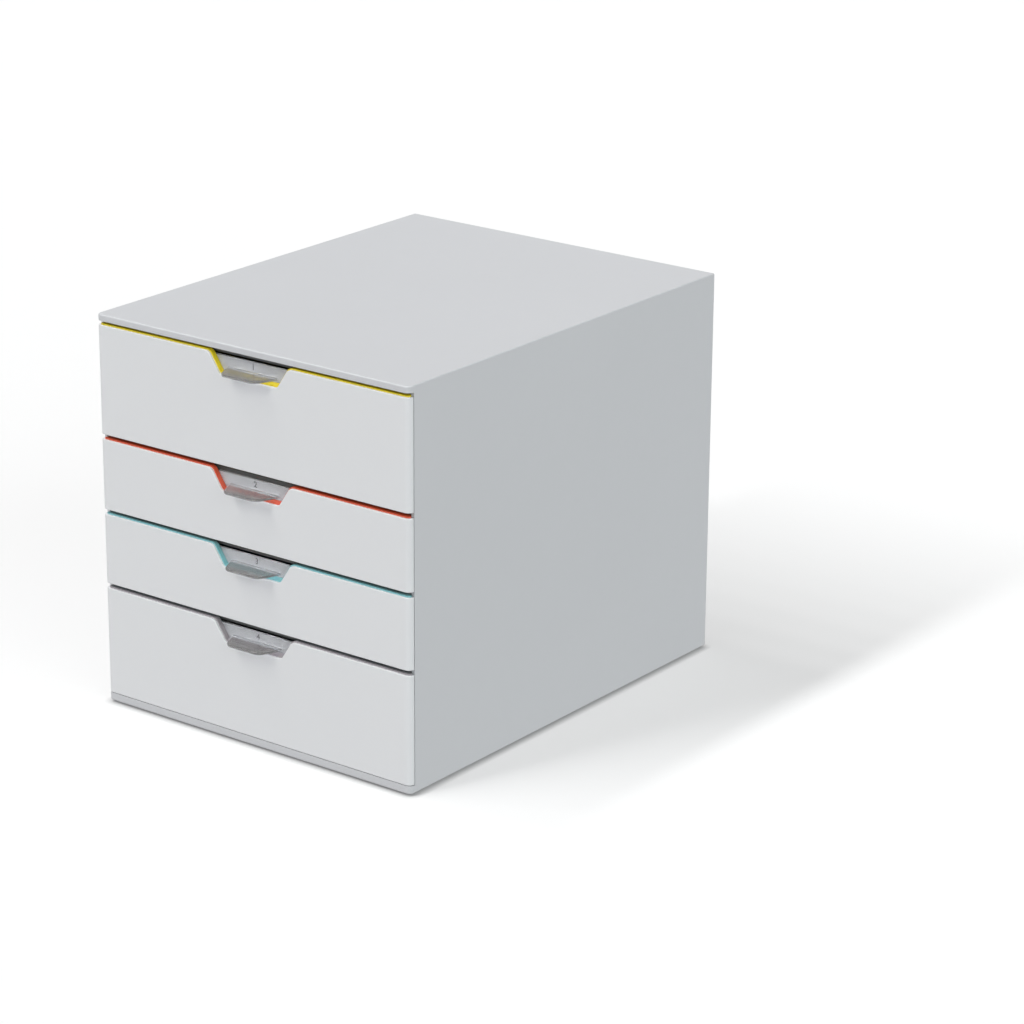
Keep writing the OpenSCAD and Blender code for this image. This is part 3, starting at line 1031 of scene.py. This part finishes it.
@dataclass
class Drawer:
    """One drawer: white front, coloured frame, clear window, card, number and tray."""

    number: int
    colour: FrameColour
    finishes: Finishes
    panel_t: float = 1.75
    corner_r: float = 4.3  # radius of its upright corners
    bead_r: float = 0.8  # radius of its outline's front edges
    notch_top: float = 36.2  # half the width of the notch at the height of the frame's top edge
    notch_low: float = 25.7  # half the width of the notch at its bottom
    notch_h: float = 15.8  # depth of the notch below the coloured frame's top edge
    notch_top_r: float = 5.0  # radius of the notch's upper corners
    notch_low_r: float = 4.0  # radius of the notch's lower corners

    @property
    def body(self) -> str:
        """Name of the CAD body that the drawer's pieces ride on."""
        return f"drawer_{self.number}"

    @property
    def top(self) -> float:
        """Height of the coloured frame's top edge, in millimetres."""
        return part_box(f"{self.body}_frame")[1].z / MM

    def cut_notch(self, panel: Piece) -> None:
        """Cut the handle notch out of the top edge of a flat front, and round its corners.

        Args:
            panel: The front as one flat upright face.
        """
        low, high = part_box(f"{self.body}_panel")
        floor = (self.top - self.notch_h) * MM
        foot = self.notch_low * MM
        slope = Vector((self.notch_h, 0, self.notch_low - self.notch_top)).normalized()
        run = (self.notch_top - self.notch_low) / self.notch_h
        mouth = foot + (high.z - floor) * run
        rise = math.atan2(self.notch_h, self.notch_top - self.notch_low)
        half_angle = (math.pi - rise) / 2
        with editing(panel, "FACE"):
            bpy.ops.mesh.select_all(action="SELECT")
            bpy.ops.mesh.bisect(plane_co=(0, low.y, floor), plane_no=(0, 0, 1))
            for side in (-1, 1):
                pick_faces(panel, lambda c, n: c.z > floor)
                bpy.ops.mesh.bisect(
                    plane_co=(side * foot, low.y, floor), plane_no=(side * slope.x, 0, slope.z)
                )
            pick_faces(panel, lambda c, n: c.z > floor and abs(c.x) < foot)
            bpy.ops.mesh.delete(type="FACE")
            bpy.ops.mesh.select_all(action="SELECT")
            bpy.ops.mesh.dissolve_limited(angle_limit=SEAM_ANGLE)
            for height, half, radius in (
                (high.z, mouth, self.notch_top_r),
                (floor, foot, self.notch_low_r),
            ):
                pick_corners(panel, lambda c: near(c.z, height) and near(abs(c.x), half))
                round_corners(radius * MM, half_angle, NOTCH_STEPS)

    def panel(self) -> Piece:
        """Model the white front: a skin that wraps round the corners, with the notch.

        Returns:
            The finished piece.
        """
        low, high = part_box(f"{self.body}_panel")
        soft_edge, soft_angle = 0.2, 50
        clear_selection()
        centre = ((low.x + high.x) / 2, low.y, (low.z + high.z) / 2)
        bpy.ops.mesh.primitive_plane_add(size=1, location=centre, rotation=(math.pi / 2, 0, 0))
        panel = name_piece(bpy.context.active_object, f"panel_{self.number}")
        panel.scale = (high.x - low.x, high.z - low.z, 1)
        settle(panel)
        self.cut_notch(panel)

        def upright(a: Vector, b: Vector) -> bool:
            """Tell whether an edge is one of the outer upright ones."""
            return near(a.x, b.x) and near(abs(a.x), high.x)

        with editing(panel):
            pick_edges(panel, upright)
            pull(Vector((0, high.y - low.y, 0)))
            pick_edges(
                panel, lambda a, b: upright(a, b) and near(a.y, low.y) and near(b.y, low.y)
            )
            round_edges(self.corner_r * MM, WIDE_STEPS)
            bpy.ops.mesh.select_all(action="SELECT")
            bpy.ops.mesh.normals_make_consistent(inside=False)
        finish_modifier(
            panel, "SOLIDIFY", thickness=self.panel_t * MM, offset=-1, use_even_offset=True
        )
        turn_r = self.corner_r * MM
        turn_x, turn_y = high.x - turn_r, low.y + turn_r

        def on_skin(centre: Vector, normal: Vector) -> bool:
            """Tell whether a face belongs to the outer skin."""
            if abs(normal.z) > TILTED:
                return False
            if near(centre.y, low.y) or near(abs(centre.x), high.x):
                return True
            out, ahead = abs(centre.x) - turn_x, turn_y - centre.y
            on_turn = near(math.hypot(out, ahead), turn_r, TURN_REACH)
            return out > 0 and ahead > 0 and on_turn

        with editing(panel, "FACE"):
            pick_faces(panel, on_skin)
            bpy.ops.mesh.region_to_loop()
            round_edges(self.bead_r * MM, BEAD_STEPS)
        soften(panel, soft_edge * MM, 2, soft_angle)
        dress(panel, self.finishes.panel)
        return seat(panel, self.body, [f"{self.body}_panel"])

    def build(self, window: Piece, card: Piece, number: Piece, offset: Vector) -> None:
        """Make the drawer.

        Args:
            window: The shared window.
            card: The shared card.
            number: The drawer's printed number, at the top drawer's place.
            offset: Way from the top drawer to this one.
        """
        frame_slot, frame_finish = f"frame_{self.number}", self.finishes.frames[self.colour]
        for kind, slot, soft_edge, finish in (
            ("tray", "tray", 0.35, self.finishes.tray),
            ("frame", frame_slot, 0.2, frame_finish),
        ):
            node = f"{self.body}_{kind}"
            copy = copy_node(node, f"{kind}_{self.number}", soft_edge * MM)
            seat(dress(copy, finish), self.body, [node])
        self.panel()
        for shared, name, slot, nodes in (
            (window, "window", "window", [f"{self.body}_window"]),
            (card, "card", "label", [f"{self.body}_label"]),
            (number, "number", "label", []),
        ):
            copy = copy_piece(shared, f"{name}_{self.number}", offset)
            seat(copy, self.body, nodes)


# --- The studio ---


@dataclass
class Studio:
    """Camera, lamps, floor and white surroundings."""

    # Point that the camera's turn is measured round, in millimetres.
    aim: tuple[float, float, float] = (0, 5.9, 146)
    azimuth: float = 0.646542  # turn of the camera from straight ahead, in radians
    elevation: float = 0.336930  # its height above the horizon, in radians
    roll: float = 0.00674392
    distance: float = 2563.02  # its distance from the aim, in millimetres
    across: float = 72.07  # its shift to the right of the aim, in millimetres
    upward: float = -18.49  # its shift upwards, in millimetres
    focal: float = 3528.3  # its focal length in pixels of the image
    sky: float = 0.26  # light of the surroundings
    key: float = 0.80  # light of the strip above the front left
    key_lamps: int = 9
    side: float = 0.79  # light from the right
    rear: float = 0.18  # light that fills the back
    mirrored: float = 0.6  # how bright the surroundings look in reflections
    floor_tone: float = 0.53  # how much light the floor gives back
    floor_glow: float = 0.455  # what the floor adds where it is seen
    floor_bounce: float = 0.50  # even light that the floor throws back on the object
    contact: float = 6.0  # reach of the dark contact shadow, in millimetres

    def camera(self) -> None:
        """Set up the camera at the picture's viewing angle."""
        sensor, clip = 36.0, (0.1, 100)
        turn, lift, roll = self.azimuth, self.elevation, self.roll
        flat = math.cos(lift)
        back = Vector((math.sin(turn) * flat, -math.cos(turn) * flat, math.sin(lift)))
        level = (-back).cross(Vector((0, 0, 1))).normalized()
        upright = level.cross(-back)
        right = math.cos(roll) * level + math.sin(roll) * upright
        up = -math.sin(roll) * level + math.cos(roll) * upright
        place = Vector(self.aim) + back * self.distance + right * self.across + up * self.upward
        data = bpy.data.cameras.new("camera")
        data.sensor_width = sensor
        data.lens = self.focal * sensor / IMAGE_SIDE
        data.clip_start, data.clip_end = clip
        camera = bpy.data.objects.new("camera", data)
        pose = Matrix((right, up, back)).transposed().to_4x4()
        pose.translation = place * MM
        camera.matrix_world = pose
        bpy.context.collection.objects.link(camera)
        bpy.context.scene.camera = camera

    @staticmethod
    def sun(
        name: str, towards: Vector, strength: float, angle: float, colour: Levels = (1, 1, 1)
    ) -> None:
        """Add a far lamp.

        Args:
            name: Name of the lamp.
            towards: Direction from the object to the lamp.
            strength: Part of full white that it gives a face turned to it.
            angle: How wide it looks, in degrees.
            colour: Colour of its light.
        """
        data = bpy.data.lights.new(name, "SUN")
        data.energy = strength * math.pi
        data.color = colour
        data.angle = math.radians(angle)
        lamp = bpy.data.objects.new(name, data)
        lamp.rotation_mode = "QUATERNION"
        lamp.rotation_quaternion = towards.to_track_quat("Z", "Y")
        bpy.context.collection.objects.link(lamp)

    def lamps(self) -> None:
        """Hang the strip above the front left, the soft light on the right and the rear fill."""
        to_left, first, last = -0.395, 0.05, 1.25
        right, behind, bluish = Vector((0.96, -0.24, 0.1)), Vector((-0.1, 1, 0.03)), (0.94, 1, 1)
        strip_angle, right_angle, behind_angle = 5, 70, 20
        each = self.key / self.key_lamps
        for count in range(self.key_lamps):
            ahead = first + (last - first) * count / (self.key_lamps - 1)
            self.sun(f"strip_{count + 1}", Vector((to_left, -ahead, 1)), each, strip_angle)
        self.sun("right_side", right, self.side, right_angle, bluish)
        self.sun("rear_fill", behind, self.rear, behind_angle)

    @staticmethod
    def seen_straight(wires: Wiring, mirrored: float) -> Socket:
        """Tell the rays that show the background apart from those that light the object.

        Args:
            wires: Wiring of the material or world.
            mirrored: What the socket gives for reflections.

        Returns:
            Socket that is 1 for camera rays and rays through glass.
        """
        path = wires.add("LightPath").outputs
        reflected = wires.times(path["Is Glossy Ray"], mirrored)
        seen = wires.calc("MAXIMUM", path["Is Camera Ray"], path["Is Transmission Ray"])
        seen = wires.calc("MAXIMUM", seen, reflected)
        return wires.times(seen, wires.calc("LESS_THAN", path["Diffuse Depth"], 0.5))

    def surroundings(self) -> None:
        """Make the world white where it is seen, and plain soft light elsewhere."""
        world = bpy.data.worlds.new("surroundings")
        wires = start_wiring(world)
        light = wires.add("Background", {"Color": WHITE, "Strength": self.sky})
        white = wires.add("Background", {"Color": WHITE, "Strength": 1.0})
        seen = self.seen_straight(wires, self.mirrored)
        mixed = wires.add("MixShader", {0: seen, 1: light.outputs[0], 2: white.outputs[0]})
        wires.add("OutputWorld", {"Surface": mixed.outputs[0]})
        bpy.context.scene.world = world

    def floor(self) -> None:
        """Lay a pale floor that keeps the shadow and is white where light falls on it."""
        floor_size, darkening = 60, 2
        clear_selection()
        bpy.ops.mesh.primitive_plane_add(size=floor_size)
        floor = name_piece(bpy.context.active_object, "floor")
        material = bpy.data.materials.new("floor white")
        wires = start_wiring(material)
        tone = self.floor_tone
        matt = wires.add("BsdfDiffuse", {"Color": (tone, tone, tone, 1)})
        near_object = wires.add("AmbientOcclusion", {"Distance": self.contact * MM}, samples=8)
        open_part = wires.calc("POWER", near_object.outputs["AO"], darkening)
        glow = wires.times(open_part, self.floor_glow)
        shine = wires.add("Emission", {"Color": WHITE, "Strength": glow})
        shown = wires.add("AddShader", {0: matt.outputs[0], 1: shine.outputs[0]})
        bounce = wires.add("Emission", {"Color": WHITE, "Strength": self.floor_bounce})
        seen = self.seen_straight(wires, 0)
        both = wires.add("MixShader", {0: seen, 1: bounce.outputs[0], 2: shown.outputs[0]})
        wires.add("OutputMaterial", {"Surface": both.outputs[0]})
        dress(floor, material)

    def build(self) -> None:
        """Set up the camera, the lamps, the surroundings and the floor."""
        self.camera()
        self.lamps()
        self.surroundings()
        self.floor()
        bpy.context.scene.view_settings.view_transform = "Standard"
        log.info("studio: camera, %d lamps and floor", len(bpy.data.lights))


# --- Putting it together ---


def build_drawers(finishes: Finishes) -> None:
    """Model the shared parts once, and build the four drawers from the top down.

    Args:
        finishes: The tower's materials.
    """
    drawers = [Drawer(count, colour, finishes) for count, colour in enumerate(FrameColour, 1)]
    top = drawers[0].top
    parts = DrawerParts(finishes, top)
    window, card = parts.window(), parts.card()
    shared = [window, card]
    for drawer in drawers:
        number = parts.number(str(drawer.number))
        drawer.build(window, card, number, mm(0, 0, drawer.top - top))
        shared.append(number)
    for piece in shared:
        bpy.data.objects.remove(piece)


def main() -> None:
    """Build the studio, the housing and the drawers, in that order."""
    logging.basicConfig(level=logging.INFO, format="%(name)s: %(message)s")
    Studio().build()
    finishes = Finishes()
    Housing(finishes).build()
    build_drawers(finishes)


if __name__ == "__main__":
    main()
